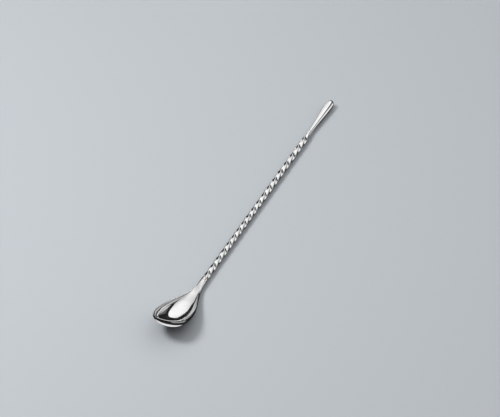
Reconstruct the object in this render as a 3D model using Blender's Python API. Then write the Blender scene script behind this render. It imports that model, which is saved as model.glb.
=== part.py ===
"""Bar spoon: a teardrop bowl, a left-hand twisted square stem and a turned teardrop weight.

The spoon lies along X with the bowl's tip at -X, resting on the bowl's belly and on the weight.
The stem's tenons sit in blind sockets, and a ring of silver braze fills each seam.
"""
import bmesh
import bpy
import math

# Overall sizes
BOWL_LENGTH = 0.074
STEM_LENGTH = 0.212
WEIGHT_LENGTH = 0.044
GAP = 0.0003
BRAZE_WIDTH = 0.0005

# Bowl
BOWL_WIDTH = 0.027
WIDEST_AT = 0.054
NECK_RADIUS = 0.0023
TIP_POWER = 2.7
END_POWER = 2.35
TIP_RISE = 0.0158
TIP_SLOPE = 0.30
TIP_EDGE = 0.0002
BELLY_DROP = 0.0032
BELLY_AT = 0.0355
KEEL_POWER = 1.6
SECTION_POWER = 0.88
WALL = 0.0011
LIP_WIDTH = 0.0011
NECK_LIP = 0.0003
NECK_CROWN = 0.0011
NECK_BLEND = 0.016
HOLLOW_START = 0.005
HOLLOW_RAMP = 0.022
SOCKET_RADIUS = 0.0015
SOCKET_DEPTH = 0.0042

# Stem
FLAT_RADIUS = 0.00175
SQUARENESS = 7.0
QUARTER_TURNS = 19.8
TWIST_UNEVENNESS = 0.36
TWIST_PHASE = -0.33
SHOULDER = 0.0008
FORM_LENGTH = 0.004
END_RADIUS = 0.00145
TAPER_LENGTH = 0.012
TENON_RADIUS = 0.0012
TENON_LENGTH = 0.0047
SMALL_TENON_RADIUS = 0.0008
SMALL_TENON_LENGTH = 0.0072

# Weight
WEIGHT_RADIUS = BELLY_DROP
DOME_LENGTH = 0.0042
SMALL_SOCKET_RADIUS = 0.00105
SMALL_SOCKET_DEPTH = 0.0080

# Mesh fineness
BOWL_RAMP_STATIONS = 16
BOWL_TIP_STATIONS = 12
LAST_TURN = math.radians(89.2)
BOWL_ACROSS = 20
LIP_STEPS = 2
STEM_STATIONS = 120
STEM_SIDES = 16
WEIGHT_SIDES = 32

JOINT_X = BOWL_LENGTH - (BOWL_LENGTH + STEM_LENGTH + WEIGHT_LENGTH) / 2.0
AXIS_HEIGHT = BELLY_DROP

STEEL = (0.62, 0.63, 0.64, 1.0)
SILVER = (0.78, 0.76, 0.70, 1.0)


def smooth(t):
    """Ease from 0 to 1 as t goes from 0 to 1."""
    t = min(max(t, 0.0), 1.0)
    return t * t * (3.0 - 2.0 * t)


def mix(a, b, t):
    return a + (b - a) * t


def material(name, colour, roughness):
    made = bpy.data.materials.new(name)
    made.use_nodes = True
    shader = made.node_tree.nodes["Principled BSDF"]
    shader.inputs["Base Color"].default_value = colour
    shader.inputs["Roughness"].default_value = roughness
    shader.inputs["Metallic"].default_value = 1.0
    made.diffuse_color = colour
    return made


def finish(name, mesh_builder, colour, roughness, sharp_degrees=40.0):
    """Turn a bmesh into a named, shaded object with its own material."""
    bmesh.ops.recalc_face_normals(mesh_builder, faces=mesh_builder.faces)
    mesh = bpy.data.meshes.new(name)
    mesh_builder.to_mesh(mesh)
    mesh_builder.free()
    mesh.materials.append(material(name + "_metal", colour, roughness))
    mesh.shade_smooth()
    mesh.set_sharp_from_angle(angle=math.radians(sharp_degrees))
    made = bpy.data.objects.new(name, mesh)
    bpy.context.scene.collection.objects.link(made)
    return made


def bridge(mesh_builder, first, second):
    """Join two closed loops of the same count with faces."""
    count = len(first)
    for i in range(count):
        corners = [first[i], first[(i + 1) % count], second[(i + 1) % count], second[i]]
        mesh_builder.faces.new(corners)


def cap(mesh_builder, loop, centre):
    """Close a loop with a fan of triangles about a centre point."""
    middle = mesh_builder.verts.new(centre)
    count = len(loop)
    for i in range(count):
        mesh_builder.faces.new([loop[i], loop[(i + 1) % count], middle])


def ring(mesh_builder, x, radius, count):
    """A round loop about the stem's axis."""
    loop = []
    for i in range(count):
        angle = 2.0 * math.pi * i / count
        y = radius * math.sin(angle)
        z = AXIS_HEIGHT - radius * math.cos(angle)
        loop.append(mesh_builder.verts.new((x, y, z)))
    return loop


# Bowl shape. s is the distance from the joint towards the tip, and heights are from the axis.

def rim_height(s):
    """The rim starts level with the stem's axis and rises to the tip."""
    x = s / BOWL_LENGTH
    rise = TIP_RISE * (3.0 * x * x - 2.0 * x ** 3)
    return rise - TIP_SLOPE * BOWL_LENGTH * x * x * (1.0 - x)


def keel_height(s):
    """The underside's centre line: down from the neck to the belly, then up to the tip."""
    if s <= BELLY_AT:
        return -mix(NECK_RADIUS, BELLY_DROP, smooth(s / BELLY_AT))
    x = min((s - BELLY_AT) / (BOWL_LENGTH - BELLY_AT), 1.0)
    drop = math.sqrt(1.0 - x ** KEEL_POWER)
    return rim_height(s) - (rim_height(s) + BELLY_DROP) * drop


def half_width(s, inset):
    """Half the outline's width, set in from the outside by the lip's width."""
    widest = BOWL_WIDTH / 2.0
    if s <= WIDEST_AT:
        flare = 0.5 - 0.5 * math.cos(math.pi * s / WIDEST_AT)
        return mix(NECK_RADIUS, widest, flare) - inset
    x = min((s - WIDEST_AT) / (BOWL_LENGTH - inset - WIDEST_AT), 1.0)
    return (widest - inset) * max(1.0 - x ** TIP_POWER, 0.0) ** (1.0 / END_POWER)


def stations(inset):
    """Distances of the cross-sections, closing up evenly round the tip."""
    places = []
    for i in range(BOWL_RAMP_STATIONS):
        places.append(WIDEST_AT * i / BOWL_RAMP_STATIONS)
    reach = BOWL_LENGTH - inset - WIDEST_AT
    for i in range(BOWL_TIP_STATIONS + 1):
        turn = LAST_TURN * i / BOWL_TIP_STATIONS
        places.append(WIDEST_AT + reach * math.sin(turn) ** (2.0 / TIP_POWER))
    return places


def place(s, y, height):
    return (JOINT_X - s, y, AXIS_HEIGHT + height)


def lip_width(s):
    return mix(NECK_LIP, LIP_WIDTH, smooth(s / NECK_BLEND))


def under_point(s, turn):
    """A point on the outer skin. turn runs from one edge, past the keel, to the other."""
    blend = smooth(s / NECK_BLEND)
    power = mix(1.0, SECTION_POWER, blend)
    edge = rim_height(s) - mix(0.0, 0.5 * LIP_WIDTH, blend)
    depth = max(edge - keel_height(s), TIP_EDGE)
    return place(s, half_width(s, 0.0) * math.sin(turn), edge - depth * math.cos(turn) ** power)


def hollow_point(s, turn):
    """A point on the inner skin, which is a rounded top at the neck and a hollow in the bowl."""
    blend = smooth(s / NECK_BLEND)
    crown = mix(NECK_CROWN, 0.0, blend)
    edge = rim_height(s) + mix(NECK_CROWN, -0.5 * LIP_WIDTH, blend)
    floor = keel_height(s) + WALL
    depth = max(edge - floor, 0.0) * smooth((s - HOLLOW_START) / HOLLOW_RAMP)
    height = edge + crown * math.cos(turn) - depth * math.cos(turn) ** SECTION_POWER
    return place(s, half_width(s, lip_width(s)) * math.sin(turn), height)


def bowl_loops():
    """Closed loops of points round the bowl's section, from the joint to the tip."""
    outer = stations(0.0)
    inner = stations(LIP_WIDTH)
    loops = []
    for s_out, s_in in zip(outer, inner):
        turns = [math.pi * (j / BOWL_ACROSS - 0.5) for j in range(BOWL_ACROSS + 1)]
        under = [under_point(s_out, turn) for turn in turns]
        hollow = [hollow_point(s_in, turn) for turn in turns]
        loops.append(under + lip(under[-1], hollow[-1]) + hollow[::-1] + lip(hollow[0], under[0]))
    return loops


def lip(start, end):
    """Points of the rounded lip between the two skins' edges."""
    points = []
    width = math.dist(start[:2], end[:2])
    for k in range(1, LIP_STEPS):
        t = k / LIP_STEPS
        lift = 0.5 * width * math.sin(math.pi * t)
        points.append((mix(start[0], end[0], t), mix(start[1], end[1], t), mix(start[2], end[2], t) + lift))
    return points


def make_bowl():
    """The bowl with its solid neck and the blind socket for the stem's tenon."""
    builder = bmesh.new()
    loops = []
    for points in bowl_loops():
        loops.append([builder.verts.new(point) for point in points])
    for first, second in zip(loops, loops[1:]):
        bridge(builder, first, second)
    close_tip(builder, loops[-1])
    close_neck(builder, loops[0])
    return finish("bowl", builder, STEEL, 0.12, 60.0)


def close_tip(builder, loop):
    """Zip the last, narrow section shut from the keel, over the lip, to the foot of the hollow."""
    keel = BOWL_ACROSS // 2
    for i in range(keel, keel + len(loop) // 2):
        corners = [loop[i], loop[i + 1], loop[BOWL_ACROSS - i - 1], loop[BOWL_ACROSS - i]]
        builder.faces.new(list(dict.fromkeys(corners)))


def close_neck(builder, loop):
    """The neck's end face, with the socket going in towards the bowl."""
    mouth = []
    foot = []
    for vertex in loop:
        across = vertex.co.y
        up = vertex.co.z - AXIS_HEIGHT
        scale = SOCKET_RADIUS / math.hypot(across, up)
        spot = (across * scale, AXIS_HEIGHT + up * scale)
        mouth.append(builder.verts.new((JOINT_X, spot[0], spot[1])))
        foot.append(builder.verts.new((JOINT_X - SOCKET_DEPTH, spot[0], spot[1])))
    bridge(builder, loop, mouth)
    bridge(builder, mouth, foot)
    cap(builder, foot, (JOINT_X - SOCKET_DEPTH, 0.0, AXIS_HEIGHT))


# Stem shape. x is the distance from the joint face towards the weight.

def twist_angle(x, length):
    """Left-hand twist, wound a little tighter near the bowl than near the weight."""
    t = x / length
    unevenness = TWIST_UNEVENNESS * math.sin(2.0 * math.pi * (t + TWIST_PHASE))
    return -0.5 * math.pi * (QUARTER_TURNS * t + unevenness)


def stem_radius(x, length, angle):
    """Rounded square bar, formed round at the joint and tapering to a round end at the weight."""
    c = abs(math.cos(angle)) ** SQUARENESS
    s = abs(math.sin(angle)) ** SQUARENESS
    square = FLAT_RADIUS / (c + s) ** (1.0 / SQUARENESS)
    at_joint = smooth((x - SHOULDER) / FORM_LENGTH)
    at_weight = smooth((length - x - SHOULDER) / TAPER_LENGTH)
    return mix(END_RADIUS, mix(NECK_RADIUS, square, at_joint), at_weight)


def make_stem():
    """The twisted bar with a round tenon at each end."""
    seam = BRAZE_WIDTH + 2.0 * GAP
    start = JOINT_X + seam
    length = STEM_LENGTH - 2.0 * seam
    builder = bmesh.new()
    loops = [ring(builder, start - TENON_LENGTH, TENON_RADIUS, STEM_SIDES)]
    loops.append(ring(builder, start, TENON_RADIUS, STEM_SIDES))
    for i in range(STEM_STATIONS + 1):
        x = length * i / STEM_STATIONS
        turn = twist_angle(x, length)
        loop = []
        for j in range(STEM_SIDES):
            angle = 2.0 * math.pi * j / STEM_SIDES
            radius = stem_radius(x, length, angle)
            y = radius * math.sin(angle + turn)
            z = AXIS_HEIGHT - radius * math.cos(angle + turn)
            loop.append(builder.verts.new((start + x, y, z)))
        loops.append(loop)
    loops.append(ring(builder, start + length, SMALL_TENON_RADIUS, STEM_SIDES))
    loops.append(ring(builder, start + length + SMALL_TENON_LENGTH, SMALL_TENON_RADIUS, STEM_SIDES))
    for first, second in zip(loops, loops[1:]):
        bridge(builder, first, second)
    cap(builder, loops[0], (start - TENON_LENGTH, 0.0, AXIS_HEIGHT))
    cap(builder, loops[-1], (start + length + SMALL_TENON_LENGTH, 0.0, AXIS_HEIGHT))
    return finish("twisted_stem", builder, STEEL, 0.14, 35.0)


def turned(name, profile, sides, colour, roughness):
    """A closed body turned about the stem's axis from (x, radius) points, end to end."""
    builder = bmesh.new()
    loops = [ring(builder, x, radius, sides) for x, radius in profile if radius > 0.0]
    for first, second in zip(loops, loops[1:]):
        bridge(builder, first, second)
    if profile[0][1] > 0.0:
        bridge(builder, loops[-1], loops[0])
    else:
        cap(builder, loops[0], (profile[0][0], 0.0, AXIS_HEIGHT))
        cap(builder, loops[-1], (profile[-1][0], 0.0, AXIS_HEIGHT))
    return finish(name, builder, colour, roughness)


def make_braze(name, x, bore, outside):
    """A ring of braze filler, flush with the metal beside it."""
    profile = [(x, bore), (x, outside), (x + BRAZE_WIDTH, outside), (x + BRAZE_WIDTH, bore)]
    return turned(name, profile, WEIGHT_SIDES, SILVER, 0.2)


def make_weight():
    """The teardrop weight: a slim neck swelling to a domed end, with a blind socket."""
    start = JOINT_X + STEM_LENGTH
    taper = WEIGHT_LENGTH - DOME_LENGTH
    profile = [(start + SMALL_SOCKET_DEPTH, 0.0)]
    profile.append((start + SMALL_SOCKET_DEPTH, SMALL_SOCKET_RADIUS))
    profile.append((start, SMALL_SOCKET_RADIUS))
    for i in range(19):
        t = i / 18.0
        profile.append((start + taper * t, mix(END_RADIUS, WEIGHT_RADIUS, smooth(t))))
    for i in range(1, 9):
        turn = 0.5 * math.pi * i / 9.0
        profile.append((start + taper + DOME_LENGTH * math.sin(turn), WEIGHT_RADIUS * math.cos(turn)))
    profile.append((start + WEIGHT_LENGTH, 0.0))
    return turned("teardrop_weight", profile, WEIGHT_SIDES, STEEL, 0.12)


def clear_scene():
    for old in list(bpy.data.objects):
        bpy.data.objects.remove(old, do_unlink=True)


def main():
    clear_scene()
    make_bowl()
    make_braze("bowl_braze_ring", JOINT_X + GAP, TENON_RADIUS + GAP, NECK_RADIUS)
    make_stem()
    weight_seam = JOINT_X + STEM_LENGTH - GAP - BRAZE_WIDTH
    make_braze("weight_braze_ring", weight_seam, SMALL_SOCKET_RADIUS, END_RADIUS)
    make_weight()


main()
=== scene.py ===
"""The looks of the bar spoon: fine mirror-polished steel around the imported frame, in a plain studio.

Each piece stands for one CAD node. Its shape follows the same formulas as the CAD, at a finer step.
"""
import math

import bmesh
import bpy
from mathutils import Matrix, Vector


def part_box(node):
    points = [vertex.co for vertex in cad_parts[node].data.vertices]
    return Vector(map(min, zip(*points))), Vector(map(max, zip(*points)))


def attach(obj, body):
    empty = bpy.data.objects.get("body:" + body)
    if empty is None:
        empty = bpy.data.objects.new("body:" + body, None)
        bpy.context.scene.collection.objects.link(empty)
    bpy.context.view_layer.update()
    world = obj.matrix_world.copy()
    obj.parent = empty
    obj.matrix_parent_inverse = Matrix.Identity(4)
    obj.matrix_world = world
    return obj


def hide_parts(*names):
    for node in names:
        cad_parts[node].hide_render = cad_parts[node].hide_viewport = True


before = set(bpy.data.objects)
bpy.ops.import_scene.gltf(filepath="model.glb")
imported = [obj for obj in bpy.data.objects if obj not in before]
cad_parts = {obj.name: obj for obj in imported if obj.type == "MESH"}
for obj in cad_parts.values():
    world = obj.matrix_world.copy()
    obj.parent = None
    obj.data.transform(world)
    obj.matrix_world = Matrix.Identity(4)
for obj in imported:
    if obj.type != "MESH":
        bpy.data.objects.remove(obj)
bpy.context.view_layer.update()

# Sizes that the frame gives
BOWL_LOW, BOWL_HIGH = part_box("bowl")
WEIGHT_LOW, WEIGHT_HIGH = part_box("teardrop_weight")
JOINT_X = BOWL_HIGH.x
BOWL_LENGTH = BOWL_HIGH.x - BOWL_LOW.x
BOWL_WIDTH = BOWL_HIGH.y - BOWL_LOW.y
WEIGHT_X = WEIGHT_LOW.x
WEIGHT_LENGTH = WEIGHT_HIGH.x - WEIGHT_LOW.x
WEIGHT_RADIUS = (WEIGHT_HIGH.y - WEIGHT_LOW.y) / 2.0
STEM_LENGTH = WEIGHT_X - JOINT_X
AXIS_HEIGHT = WEIGHT_RADIUS

# Bowl shape. Lengths are in metres, and places along the bowl are measured from the joint towards the tip
WIDEST_AT = 0.054
NECK_RADIUS = 0.0023
TIP_POWER = 2.7
END_POWER = 2.35
TIP_RISE = 0.0158
TIP_SLOPE = 0.30
TIP_EDGE = 0.0002
BELLY_DROP = AXIS_HEIGHT
BELLY_AT = 0.0355
KEEL_POWER = 1.6
SECTION_POWER = 0.88
WALL = 0.0011
LIP_WIDTH = 0.0011
NECK_LIP = 0.0003
NECK_CROWN = 0.0011
NECK_BLEND = 0.016
HOLLOW_START = 0.005
HOLLOW_RAMP = 0.022
SOCKET_RADIUS = 0.0015
SOCKET_DEPTH = 0.0042

# Stem shape. The twist counts quarter turns, and its phase is a fraction of the stem's length
FLAT_RADIUS = 0.00175
SQUARENESS = 7.0
QUARTER_TURNS = 19.8
TWIST_UNEVENNESS = 0.36
TWIST_PHASE = -0.33
SEAM = 0.0011
SHOULDER = 0.0008
FORM_LENGTH = 0.004
END_RADIUS = 0.00145
TAPER_LENGTH = 0.012
TENON_RADIUS = 0.0012
TENON_LENGTH = 0.0047
SMALL_TENON_RADIUS = 0.0008
SMALL_TENON_LENGTH = 0.0072

# Weight and braze shape
DOME_LENGTH = 0.0042
SMALL_SOCKET_RADIUS = 0.00105
SMALL_SOCKET_DEPTH = 0.0080
BRAZE_SAG = 0.00006

# Mesh fineness
BOWL_RAMP_STATIONS = 90
BOWL_TIP_STATIONS = 60
LAST_TURN = math.radians(89.7)  # just short of the tip, so that the last section keeps some width
BOWL_ACROSS = 96
LIP_STEPS = 10
STEM_STATIONS = 1100
STEM_SIDES = 48
TURNED_SIDES = 96
TAPER_STEPS = 90
DOME_STEPS = 32
BRAZE_STEPS = 12
BOWL_SHARP_DEGREES = 60.0
SHARP_DEGREES = 45.0

# Materials. A noise is (scale per metre, detail), a grain is how a noise is scaled along X, Y and Z, and a
# bump is (strength, depth in metres)
WHITE = (1.0, 1.0, 1.0, 1.0)
BLACK = (0.0, 0.0, 0.0, 1.0)
NOISE_RANGE = (0.3, 0.7)
NO_GRAIN = (1.0, 1.0, 1.0)
STEEL_COLOUR = (0.78, 0.78, 0.79, 1.0)
STEEL_DARK = (0.72, 0.725, 0.735, 1.0)
STEEL_LIGHT = (0.82, 0.82, 0.815, 1.0)
HAZE_NOISE = (90.0, 3.0)
HAZE_ROUGHNESS = 0.03
LINE_NOISE = (900.0, 4.0)
LINE_ROUGHNESS = 0.035
LINE_BUMP = (0.10, 0.00002)
WAVE_NOISE = (70.0, 1.0)
WAVE_BUMP = (0.25, 0.0004)
BOWL_GRAIN = (0.06, 1.0, 1.0)
BOWL_ROUGHNESS = 0.045
STEM_GRAIN = (0.10, 1.0, 1.0)
STEM_ROUGHNESS = 0.06
WEIGHT_GRAIN = (1.0, 0.12, 0.12)
WEIGHT_ROUGHNESS = 0.05
BRAZE_COLOUR = (0.80, 0.77, 0.70, 1.0)
BRAZE_DARK = (0.74, 0.70, 0.62, 1.0)
BRAZE_LIGHT = (0.84, 0.81, 0.75, 1.0)
BRAZE_NOISE = (2600.0, 5.0)
BRAZE_ROUGHNESS = (0.14, 0.30)
BRAZE_BUMP = (0.3, 0.00003)

# Camera. The heading is from +X towards +Y, and the view is as wide as VIEW_WIDTH at the aim point
CAMERA_ELEVATION = math.radians(36.0)
CAMERA_HEADING = math.radians(22.85)
CAMERA_DISTANCE = 3.9
VIEW_WIDTH = 0.375
AIM_RIGHT = 0.0353
AIM_UP = 0.0547
SENSOR_WIDTH = 36.0

# Studio. Directions are (azimuth, elevation) in degrees, and lengths are in metres. A screen's edges are
# (azimuth, lowest elevation, highest elevation). A pair of lights is (at the reach, at the centre).
FLOOR_COLOUR = (0.50, 0.53, 0.56, 1.0)
FLOOR_ROUGHNESS = 0.8
FLOOR_SPECULAR = 0.2
FLOOR_REACH = 12.0
ROOM_LIGHT = 0.02
BELOW_LIGHT = 0.95
BELOW_DIRECTION = (40, -66)
BELOW_REACH = 17.0
BELOW_EDGE = 4.0
SCREEN_DISTANCE = 8.0
SCREEN_ROWS = 12
OVERHEAD_EDGES = [(265, 12, 89), (225, 38, 89), (160, 36, 89), (100, 31, 89), (50, 28, 89), (35, 27, 89),
                  (20, 24, 89), (0, 24, 89), (-18, 28, 89), (-31, 30, 89), (-47, 27, 89), (-57, 19, 89),
                  (-66, 6, 89), (-90, 8, 89)]
OVERHEAD_CENTRE = (-5, 30)
OVERHEAD_REACH = 45.0
OVERHEAD_LIGHT = (0.7, 1.3)
FRONT_EDGES = [(21, -10, 12), (35, -10, 12)]
FRONT_LIGHT = 1.1
UNDER_EDGES = [(-38, -51, -43), (-60, -53, -39), (-100, -53, -37), (-155, -51, -35)]
UNDER_LIGHT = 0.35
CARD_EDGES = [(34, -8, 27), (47, -8, 27)]
CARD_DISTANCE = 0.25
CARD_LIGHT = 1.0
SIDE_EDGES = [(-23, -20, 18), (-30, -24, 20), (-38, -28, 19), (-46, -28, 14), (-54, -28, 7),
              (-61, -28, -4)]
SIDE_CENTRE = (-50, -12)
SIDE_REACH = 27.0
SIDE_LIGHT = (0.14, 1.3)
KEY_DIRECTION = (110, 55)
KEY_DISTANCE = 1.3
KEY_SIZE = 0.5
KEY_POWER = 10.0


def smooth(t):
    """Ease from 0 to 1 as t goes from 0 to 1."""
    t = min(max(t, 0.0), 1.0)
    return t * t * (3.0 - 2.0 * t)


def mix(a, b, t):
    """The value a part t of the way from a to b."""
    return a + (b - a) * t


# Mesh helpers

def finish_piece(node, builder, made_of, sharp_degrees):
    """Turn a bmesh into the visible piece that stands for a CAD node."""
    bmesh.ops.recalc_face_normals(builder, faces=builder.faces)
    mesh = bpy.data.meshes.new(node + "_surface")
    builder.to_mesh(mesh)
    builder.free()
    mesh.materials.append(made_of)
    mesh.shade_smooth()
    mesh.set_sharp_from_angle(angle=math.radians(sharp_degrees))
    piece = bpy.data.objects.new(node + "_surface", mesh)
    bpy.context.scene.collection.objects.link(piece)
    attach(piece, "root")
    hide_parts(node)


def bridge(builder, first, second):
    """Join two closed loops of the same count with faces."""
    count = len(first)
    for i in range(count):
        after = (i + 1) % count
        builder.faces.new([first[i], first[after], second[after], second[i]])


def cap(builder, loop, centre):
    """Close a loop with a fan of triangles about a centre point."""
    middle = builder.verts.new(centre)
    for i in range(len(loop)):
        builder.faces.new([loop[i], loop[(i + 1) % len(loop)], middle])


def ring(builder, x, radius, count):
    """A round loop about the stem's axis."""
    loop = []
    for i in range(count):
        angle = 2.0 * math.pi * i / count
        y = radius * math.sin(angle)
        z = AXIS_HEIGHT - radius * math.cos(angle)
        loop.append(builder.verts.new((x, y, z)))
    return loop


# Bowl. s is the distance from the joint towards the tip, and heights are from the stem's axis.

def rim_height(s):
    """The rim starts level with the stem's axis and rises to the tip."""
    x = s / BOWL_LENGTH
    rise = TIP_RISE * (3.0 * x * x - 2.0 * x ** 3)
    return rise - TIP_SLOPE * BOWL_LENGTH * x * x * (1.0 - x)


def keel_height(s):
    """The underside's centre line: down from the neck to the belly, then up to the tip."""
    if s <= BELLY_AT:
        return -mix(NECK_RADIUS, BELLY_DROP, smooth(s / BELLY_AT))
    x = min((s - BELLY_AT) / (BOWL_LENGTH - BELLY_AT), 1.0)
    drop = math.sqrt(1.0 - x ** KEEL_POWER)
    return rim_height(s) - (rim_height(s) + BELLY_DROP) * drop


def half_width(s, inset):
    """Half the outline's width, less an inset: a cosine flare to the widest point, then a rounded tip."""
    widest = BOWL_WIDTH / 2.0
    if s <= WIDEST_AT:
        flare = 0.5 - 0.5 * math.cos(math.pi * s / WIDEST_AT)
        return mix(NECK_RADIUS, widest, flare) - inset
    x = min((s - WIDEST_AT) / (BOWL_LENGTH - inset - WIDEST_AT), 1.0)
    return (widest - inset) * max(1.0 - x ** TIP_POWER, 0.0) ** (1.0 / END_POWER)


def stations(inset):
    """Distances of the cross-sections, closing up evenly round the tip."""
    places = []
    for i in range(BOWL_RAMP_STATIONS):
        places.append(WIDEST_AT * i / BOWL_RAMP_STATIONS)
    reach = BOWL_LENGTH - inset - WIDEST_AT
    for i in range(BOWL_TIP_STATIONS + 1):
        turn = LAST_TURN * i / BOWL_TIP_STATIONS
        places.append(WIDEST_AT + reach * math.sin(turn) ** (2.0 / TIP_POWER))
    return places


def place(s, y, height):
    """A point of the bowl in the shared frame."""
    return (JOINT_X - s, y, AXIS_HEIGHT + height)


def lip_width(s):
    """The lip grows from the neck's narrow edge to the bowl's full wall."""
    return mix(NECK_LIP, LIP_WIDTH, smooth(s / NECK_BLEND))


def under_point(s, turn):
    """A point on the outer skin. turn runs from one edge, past the keel, to the other."""
    blend = smooth(s / NECK_BLEND)
    power = mix(1.0, SECTION_POWER, blend)
    edge = rim_height(s) - 0.5 * LIP_WIDTH * blend
    depth = max(edge - keel_height(s), TIP_EDGE)
    return place(s, half_width(s, 0.0) * math.sin(turn), edge - depth * math.cos(turn) ** power)


def hollow_point(s, turn):
    """A point on the inner skin, which is a rounded top at the neck and a hollow in the bowl."""
    blend = smooth(s / NECK_BLEND)
    crown = mix(NECK_CROWN, 0.0, blend)
    edge = rim_height(s) + mix(NECK_CROWN, -0.5 * LIP_WIDTH, blend)
    floor = keel_height(s) + WALL
    depth = max(edge - floor, 0.0) * smooth((s - HOLLOW_START) / HOLLOW_RAMP)
    height = edge + crown * math.cos(turn) - depth * math.cos(turn) ** SECTION_POWER
    return place(s, half_width(s, lip_width(s)) * math.sin(turn), height)


def lip(start, end):
    """Points of the rounded lip between the edges of the two skins."""
    points = []
    width = math.dist(start[:2], end[:2])
    for k in range(1, LIP_STEPS):
        t = k / LIP_STEPS
        across = 0.5 - 0.5 * math.cos(math.pi * t)
        lift = 0.5 * width * math.sin(math.pi * t)
        x, y, z = (mix(a, b, across) for a, b in zip(start, end))
        points.append((x, y, z + lift))
    return points


def bowl_loops():
    """Closed loops of points round the bowl's section, from the joint to the tip."""
    turns = [math.pi * (j / BOWL_ACROSS - 0.5) for j in range(BOWL_ACROSS + 1)]
    loops = []
    for s_out, s_in in zip(stations(0.0), stations(LIP_WIDTH)):
        under = [under_point(s_out, turn) for turn in turns]
        hollow = [hollow_point(s_in, turn) for turn in turns]
        loops.append(under + lip(under[-1], hollow[-1]) + hollow[::-1] + lip(hollow[0], under[0]))
    return loops


def close_tip(builder, loop):
    """Zip the last, narrow section shut from the keel, over the lip, to the foot of the hollow."""
    keel = BOWL_ACROSS // 2
    # The first face and the last one are triangles: two of their corners are the same point
    for i in range(keel, keel + len(loop) // 2):
        corners = [loop[i], loop[i + 1], loop[BOWL_ACROSS - i - 1], loop[BOWL_ACROSS - i]]
        builder.faces.new(list(dict.fromkeys(corners)))


def close_neck(builder, loop):
    """The neck's end face, with the blind socket going in towards the bowl."""
    mouth = []
    foot = []
    for vertex in loop:
        scale = SOCKET_RADIUS / math.hypot(vertex.co.y, vertex.co.z - AXIS_HEIGHT)
        y = vertex.co.y * scale
        z = AXIS_HEIGHT + (vertex.co.z - AXIS_HEIGHT) * scale
        mouth.append(builder.verts.new((JOINT_X, y, z)))
        foot.append(builder.verts.new((JOINT_X - SOCKET_DEPTH, y, z)))
    bridge(builder, loop, mouth)
    bridge(builder, mouth, foot)
    cap(builder, foot, (JOINT_X - SOCKET_DEPTH, 0.0, AXIS_HEIGHT))


def make_bowl():
    """The bowl with its solid neck."""
    builder = bmesh.new()
    loops = [[builder.verts.new(point) for point in points] for points in bowl_loops()]
    for first, second in zip(loops, loops[1:]):
        bridge(builder, first, second)
    close_tip(builder, loops[-1])
    close_neck(builder, loops[0])
    finish_piece("bowl", builder, bowl_steel(), BOWL_SHARP_DEGREES)


# Stem. x is the distance from the braze at the bowl towards the weight.

def twist_angle(x, length):
    """Left-hand twist, wound a little tighter near the bowl than near the weight."""
    t = x / length
    unevenness = TWIST_UNEVENNESS * math.sin(2.0 * math.pi * (t + TWIST_PHASE))
    return -0.5 * math.pi * (QUARTER_TURNS * t + unevenness)


def stem_radius(x, length, angle):
    """Rounded square bar, formed round at the joint and tapering to a round end at the weight."""
    upright = abs(math.cos(angle)) ** SQUARENESS
    sideways = abs(math.sin(angle)) ** SQUARENESS
    square = FLAT_RADIUS / (upright + sideways) ** (1.0 / SQUARENESS)
    at_joint = smooth((x - SHOULDER) / FORM_LENGTH)
    at_weight = smooth((length - x - SHOULDER) / TAPER_LENGTH)
    return mix(END_RADIUS, mix(NECK_RADIUS, square, at_joint), at_weight)


def stem_loop(builder, start, x, length):
    """One section of the bar, turned by the twist."""
    turn = twist_angle(x, length)
    loop = []
    for j in range(STEM_SIDES):
        angle = 2.0 * math.pi * j / STEM_SIDES
        radius = stem_radius(x, length, angle)
        y = radius * math.sin(angle + turn)
        z = AXIS_HEIGHT - radius * math.cos(angle + turn)
        loop.append(builder.verts.new((start + x, y, z)))
    return loop


def make_stem():
    """The twisted bar with a round tenon at each end."""
    start = JOINT_X + SEAM
    length = STEM_LENGTH - 2.0 * SEAM
    end = start + length
    builder = bmesh.new()
    loops = [ring(builder, start - TENON_LENGTH, TENON_RADIUS, STEM_SIDES)]
    loops.append(ring(builder, start, TENON_RADIUS, STEM_SIDES))
    for i in range(STEM_STATIONS + 1):
        loops.append(stem_loop(builder, start, length * i / STEM_STATIONS, length))
    loops.append(ring(builder, end, SMALL_TENON_RADIUS, STEM_SIDES))
    loops.append(ring(builder, end + SMALL_TENON_LENGTH, SMALL_TENON_RADIUS, STEM_SIDES))
    for first, second in zip(loops, loops[1:]):
        bridge(builder, first, second)
    cap(builder, loops[0], (start - TENON_LENGTH, 0.0, AXIS_HEIGHT))
    cap(builder, loops[-1], (end + SMALL_TENON_LENGTH, 0.0, AXIS_HEIGHT))
    finish_piece("twisted_stem", builder, stem_steel(), SHARP_DEGREES)


# Turned pieces: the weight and the two rings of braze

def make_turned(node, profile, made_of):
    """A closed body turned about the stem's axis from (x, radius) points, which may end on the axis."""
    builder = bmesh.new()
    loops = [ring(builder, x, radius, TURNED_SIDES) for x, radius in profile if radius > 0.0]
    for first, second in zip(loops, loops[1:]):
        bridge(builder, first, second)
    if profile[0][1] > 0.0:
        bridge(builder, loops[-1], loops[0])
    else:
        cap(builder, loops[0], (profile[0][0], 0.0, AXIS_HEIGHT))
        cap(builder, loops[-1], (profile[-1][0], 0.0, AXIS_HEIGHT))
    finish_piece(node, builder, made_of, SHARP_DEGREES)


def make_braze(node, x, bore, outside):
    """A thin fillet of braze that closes the whole seam, drawn in a little at its middle."""
    profile = [(x, bore)]
    for i in range(BRAZE_STEPS + 1):
        t = i / BRAZE_STEPS
        profile.append((x + SEAM * t, outside - BRAZE_SAG * math.sin(math.pi * t)))
    profile.append((x + SEAM, bore))
    make_turned(node, profile, braze_silver(node))


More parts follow.
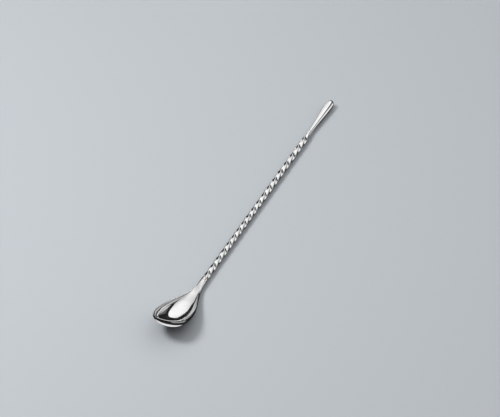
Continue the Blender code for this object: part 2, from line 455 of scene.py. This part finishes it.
def make_weight():
    """The teardrop weight: a slim neck swelling to a domed end, with a blind socket in the neck."""
    taper = WEIGHT_LENGTH - DOME_LENGTH
    profile = [(WEIGHT_X + SMALL_SOCKET_DEPTH, 0.0)]
    profile.append((WEIGHT_X + SMALL_SOCKET_DEPTH, SMALL_SOCKET_RADIUS))
    profile.append((WEIGHT_X, SMALL_SOCKET_RADIUS))
    for i in range(TAPER_STEPS + 1):
        t = i / TAPER_STEPS
        profile.append((WEIGHT_X + taper * t, mix(END_RADIUS, WEIGHT_RADIUS, smooth(t))))
    for i in range(1, DOME_STEPS):
        turn = 0.5 * math.pi * i / DOME_STEPS
        x = WEIGHT_X + taper + DOME_LENGTH * math.sin(turn)
        profile.append((x, WEIGHT_RADIUS * math.cos(turn)))
    profile.append((WEIGHT_X + WEIGHT_LENGTH, 0.0))
    make_turned("teardrop_weight", profile, weight_steel())


# Materials

def new_material(name, colour):
    """A material of one colour, with its node tree and shader."""
    made = bpy.data.materials.new(name)
    made.use_nodes = True
    tree = made.node_tree
    shader = tree.nodes["Principled BSDF"]
    shader.inputs["Base Color"].default_value = colour
    return made, tree, shader


def place_noise(tree, grain, scale, detail):
    """Noise over the piece's own coordinates, drawn out along X, Y or Z where its grain is below 1."""
    coords = tree.nodes.new("ShaderNodeTexCoord")
    mapping = tree.nodes.new("ShaderNodeMapping")
    mapping.inputs["Scale"].default_value = grain
    noise = tree.nodes.new("ShaderNodeTexNoise")
    noise.inputs["Scale"].default_value = scale
    noise.inputs["Detail"].default_value = detail
    tree.links.new(coords.outputs["Object"], mapping.inputs["Vector"])
    tree.links.new(mapping.outputs["Vector"], noise.inputs["Vector"])
    return noise.outputs["Fac"]


def map_range(tree, source, old, new):
    """Carry a value from the range old to the range new, each of them (low, high)."""
    ramp = tree.nodes.new("ShaderNodeMapRange")
    ramp.inputs["From Min"].default_value = old[0]
    ramp.inputs["From Max"].default_value = old[1]
    ramp.inputs["To Min"].default_value = new[0]
    ramp.inputs["To Max"].default_value = new[1]
    tree.links.new(source, ramp.inputs["Value"])
    return ramp.outputs["Result"]


def from_noise(tree, noise, low, high):
    """Carry the middle of a noise's range to the range low..high."""
    return map_range(tree, noise, NOISE_RANGE, (low, high))


def tint(tree, shader, noise, dark, light):
    """Vary the metal's colour between two near tones."""
    blend = tree.nodes.new("ShaderNodeMix")
    blend.data_type = "RGBA"
    blend.inputs["A"].default_value = dark
    blend.inputs["B"].default_value = light
    tree.links.new(from_noise(tree, noise, 0.0, 1.0), blend.inputs["Factor"])
    tree.links.new(blend.outputs["Result"], shader.inputs["Base Color"])


def bump(tree, height, strength, distance, under=None):
    """A bump from a height, over another bump if one is given."""
    node = tree.nodes.new("ShaderNodeBump")
    node.inputs["Strength"].default_value = strength
    node.inputs["Distance"].default_value = distance
    tree.links.new(height, node.inputs["Height"])
    if under is not None:
        tree.links.new(under, node.inputs["Normal"])
    return node.outputs["Normal"]


def polished_steel(name, grain, roughness):
    """Mirror-polished steel: slow waves from polishing, fine lines along the grain, and a faint haze."""
    made, tree, shader = new_material(name, STEEL_COLOUR)
    shader.inputs["Metallic"].default_value = 1.0
    haze = place_noise(tree, NO_GRAIN, *HAZE_NOISE)
    lines = place_noise(tree, grain, *LINE_NOISE)
    waves = place_noise(tree, NO_GRAIN, *WAVE_NOISE)
    tint(tree, shader, haze, STEEL_DARK, STEEL_LIGHT)
    rough = tree.nodes.new("ShaderNodeMath")
    rough.operation = "ADD"
    tree.links.new(from_noise(tree, haze, roughness, roughness + HAZE_ROUGHNESS), rough.inputs[0])
    tree.links.new(from_noise(tree, lines, 0.0, LINE_ROUGHNESS), rough.inputs[1])
    tree.links.new(rough.outputs["Value"], shader.inputs["Roughness"])
    wavy = bump(tree, waves, *WAVE_BUMP)
    scratched = bump(tree, lines, *LINE_BUMP, under=wavy)
    tree.links.new(scratched, shader.inputs["Normal"])
    return made


def bowl_steel():
    return polished_steel("bowl_polished_steel", BOWL_GRAIN, BOWL_ROUGHNESS)


def stem_steel():
    return polished_steel("stem_polished_steel", STEM_GRAIN, STEM_ROUGHNESS)


def weight_steel():
    return polished_steel("weight_polished_steel", WEIGHT_GRAIN, WEIGHT_ROUGHNESS)


def braze_silver(name):
    """Silver braze: a little warmer and softer than the steel, with a fine cast surface."""
    made, tree, shader = new_material(name + "_silver", BRAZE_COLOUR)
    shader.inputs["Metallic"].default_value = 1.0
    cast = place_noise(tree, NO_GRAIN, *BRAZE_NOISE)
    tint(tree, shader, cast, BRAZE_DARK, BRAZE_LIGHT)
    tree.links.new(from_noise(tree, cast, *BRAZE_ROUGHNESS), shader.inputs["Roughness"])
    tree.links.new(bump(tree, cast, *BRAZE_BUMP), shader.inputs["Normal"])
    return made


# Studio

def direction(azimuth, elevation):
    """A unit vector. Azimuth is from +X towards +Y and elevation above the horizon, both in degrees."""
    heading = math.radians(azimuth)
    climb = math.radians(elevation)
    level = math.cos(climb)
    return Vector((math.cos(heading) * level, math.sin(heading) * level, math.sin(climb)))


def show_stage(name, builder, made_of):
    """Put a piece of the studio in the scene."""
    mesh = bpy.data.meshes.new(name)
    builder.to_mesh(mesh)
    builder.free()
    mesh.materials.append(made_of)
    staged = bpy.data.objects.new(name, mesh)
    bpy.context.scene.collection.objects.link(staged)
    return staged


def make_floor():
    """A pale, plain floor. The polished steel mirrors the studio around it, not the floor."""
    made, _, shader = new_material("pale_floor", FLOOR_COLOUR)
    shader.inputs["Roughness"].default_value = FLOOR_ROUGHNESS
    shader.inputs["Specular IOR Level"].default_value = FLOOR_SPECULAR
    builder = bmesh.new()
    bmesh.ops.create_grid(builder, x_segments=1, y_segments=1, size=FLOOR_REACH)
    floor = show_stage("studio_floor", builder, made)
    floor.visible_glossy = False


def fade(tree, source, centre, angles, light):
    """A light that changes as a direction nears a centre, between two angles from it in degrees."""
    nearness = tree.nodes.new("ShaderNodeVectorMath")
    nearness.operation = "DOT_PRODUCT"
    nearness.inputs[1].default_value = centre
    tree.links.new(source, nearness.inputs[0])
    cosines = [math.cos(math.radians(angle)) for angle in angles]
    return map_range(tree, nearness.outputs["Value"], cosines, light)


def make_world():
    """A dark room, with a patch of light below the spoon in what the steel mirrors."""
    world = bpy.data.worlds.new("studio")
    bpy.context.scene.world = world
    world.use_nodes = True
    tree = world.node_tree
    background = tree.nodes["Background"]
    background.inputs["Color"].default_value = WHITE
    coords = tree.nodes.new("ShaderNodeTexCoord")
    patch = fade(tree, coords.outputs["Generated"], direction(*BELOW_DIRECTION),
                 (BELOW_REACH + BELOW_EDGE, BELOW_REACH), (ROOM_LIGHT, BELOW_LIGHT))
    tree.links.new(patch, background.inputs["Strength"])


def lit_cloth(name, strength):
    """A cloth that glows evenly."""
    made, _, shader = new_material(name, BLACK)
    shader.inputs["Emission Color"].default_value = WHITE
    shader.inputs["Emission Strength"].default_value = strength
    return made


def fading_cloth(name, centre, reach, light):
    """A cloth at the screens' distance, brightest at its centre and dimmest at its reach from there."""
    made = lit_cloth(name, light[1])
    tree = made.node_tree
    coords = tree.nodes.new("ShaderNodeTexCoord")
    towards = direction(*centre) / SCREEN_DISTANCE
    strength = fade(tree, coords.outputs["Object"], towards, (reach, 0.0), light)
    tree.links.new(strength, tree.nodes["Principled BSDF"].inputs["Emission Strength"])
    return made


def make_screen(name, edges, middle, distance, made_of):
    """A curved lit screen, at one distance from a middle point."""
    builder = bmesh.new()
    columns = []
    for azimuth, low, high in edges:
        column = []
        for k in range(SCREEN_ROWS + 1):
            towards = direction(azimuth, mix(low, high, k / SCREEN_ROWS))
            column.append(builder.verts.new(middle + towards * distance))
        columns.append(column)
    for left, right in zip(columns, columns[1:]):
        for k in range(SCREEN_ROWS):
            builder.faces.new([left[k], right[k], right[k + 1], left[k + 1]])
    screen = show_stage(name, builder, made_of)
    screen.visible_camera = False
    return screen


def make_screens():
    """Soft screens overhead, to the right, low in front and below."""
    middle = Vector((0.0, 0.0, 0.0))
    overhead = fading_cloth("overhead_glow", OVERHEAD_CENTRE, OVERHEAD_REACH, OVERHEAD_LIGHT)
    side = fading_cloth("side_glow", SIDE_CENTRE, SIDE_REACH, SIDE_LIGHT)
    front = lit_cloth("front_glow", FRONT_LIGHT)
    under = lit_cloth("under_glow", UNDER_LIGHT)
    make_screen("overhead_screen", OVERHEAD_EDGES, middle, SCREEN_DISTANCE, overhead)
    make_screen("side_screen", SIDE_EDGES, middle, SCREEN_DISTANCE, side)
    make_screen("front_screen", FRONT_EDGES, middle, SCREEN_DISTANCE, front)
    make_screen("under_screen", UNDER_EDGES, middle, SCREEN_DISTANCE, under)


def make_card():
    """A small lit card beside the weight. It casts no shadow and lights only what mirrors it."""
    weight = Vector((WEIGHT_X + 0.5 * WEIGHT_LENGTH, 0.0, AXIS_HEIGHT))
    cloth = lit_cloth("card_glow", CARD_LIGHT)
    card = make_screen("weight_card", CARD_EDGES, weight, CARD_DISTANCE, cloth)
    card.visible_diffuse = False
    card.visible_shadow = False


def make_key():
    """The lamp that casts the shadows. Its own shape isn't mirrored in the steel."""
    light = bpy.data.lights.new("key_lamp", "AREA")
    light.shape = "DISK"
    light.size = KEY_SIZE
    light.energy = KEY_POWER
    lamp = bpy.data.objects.new("key_lamp", light)
    bpy.context.scene.collection.objects.link(lamp)
    towards = direction(*KEY_DIRECTION)
    lamp.location = towards * KEY_DISTANCE
    lamp.rotation_euler = (-towards).to_track_quat("-Z", "Y").to_euler()
    lamp.visible_camera = False
    lamp.visible_glossy = False


def make_camera():
    """The photograph's view: from the bowl's end, a little to one side, looking down along the stem."""
    ahead = Vector((math.cos(CAMERA_HEADING), math.sin(CAMERA_HEADING), 0.0))
    right = Vector((math.sin(CAMERA_HEADING), -math.cos(CAMERA_HEADING), 0.0))
    above = Vector((0.0, 0.0, 1.0))
    look = ahead * math.cos(CAMERA_ELEVATION) - above * math.sin(CAMERA_ELEVATION)
    up = ahead * math.sin(CAMERA_ELEVATION) + above * math.cos(CAMERA_ELEVATION)
    aim = Vector((JOINT_X, 0.0, AXIS_HEIGHT)) + right * AIM_RIGHT + up * AIM_UP
    data = bpy.data.cameras.new("camera")
    data.sensor_width = SENSOR_WIDTH
    data.lens = SENSOR_WIDTH * CAMERA_DISTANCE / VIEW_WIDTH
    camera = bpy.data.objects.new("camera", data)
    bpy.context.scene.collection.objects.link(camera)
    turn = Matrix((right, up, -look)).transposed().to_4x4()
    camera.matrix_world = Matrix.Translation(aim - look * CAMERA_DISTANCE) @ turn
    bpy.context.scene.camera = camera


make_camera()
make_world()
make_screens()
make_card()
make_key()
make_floor()
make_bowl()
make_braze("bowl_braze_ring", JOINT_X, TENON_RADIUS, NECK_RADIUS)
make_stem()
make_braze("weight_braze_ring", WEIGHT_X - SEAM, SMALL_TENON_RADIUS, END_RADIUS)
make_weight()
bpy.context.scene.view_settings.view_transform = "Standard"  # colours as they are set
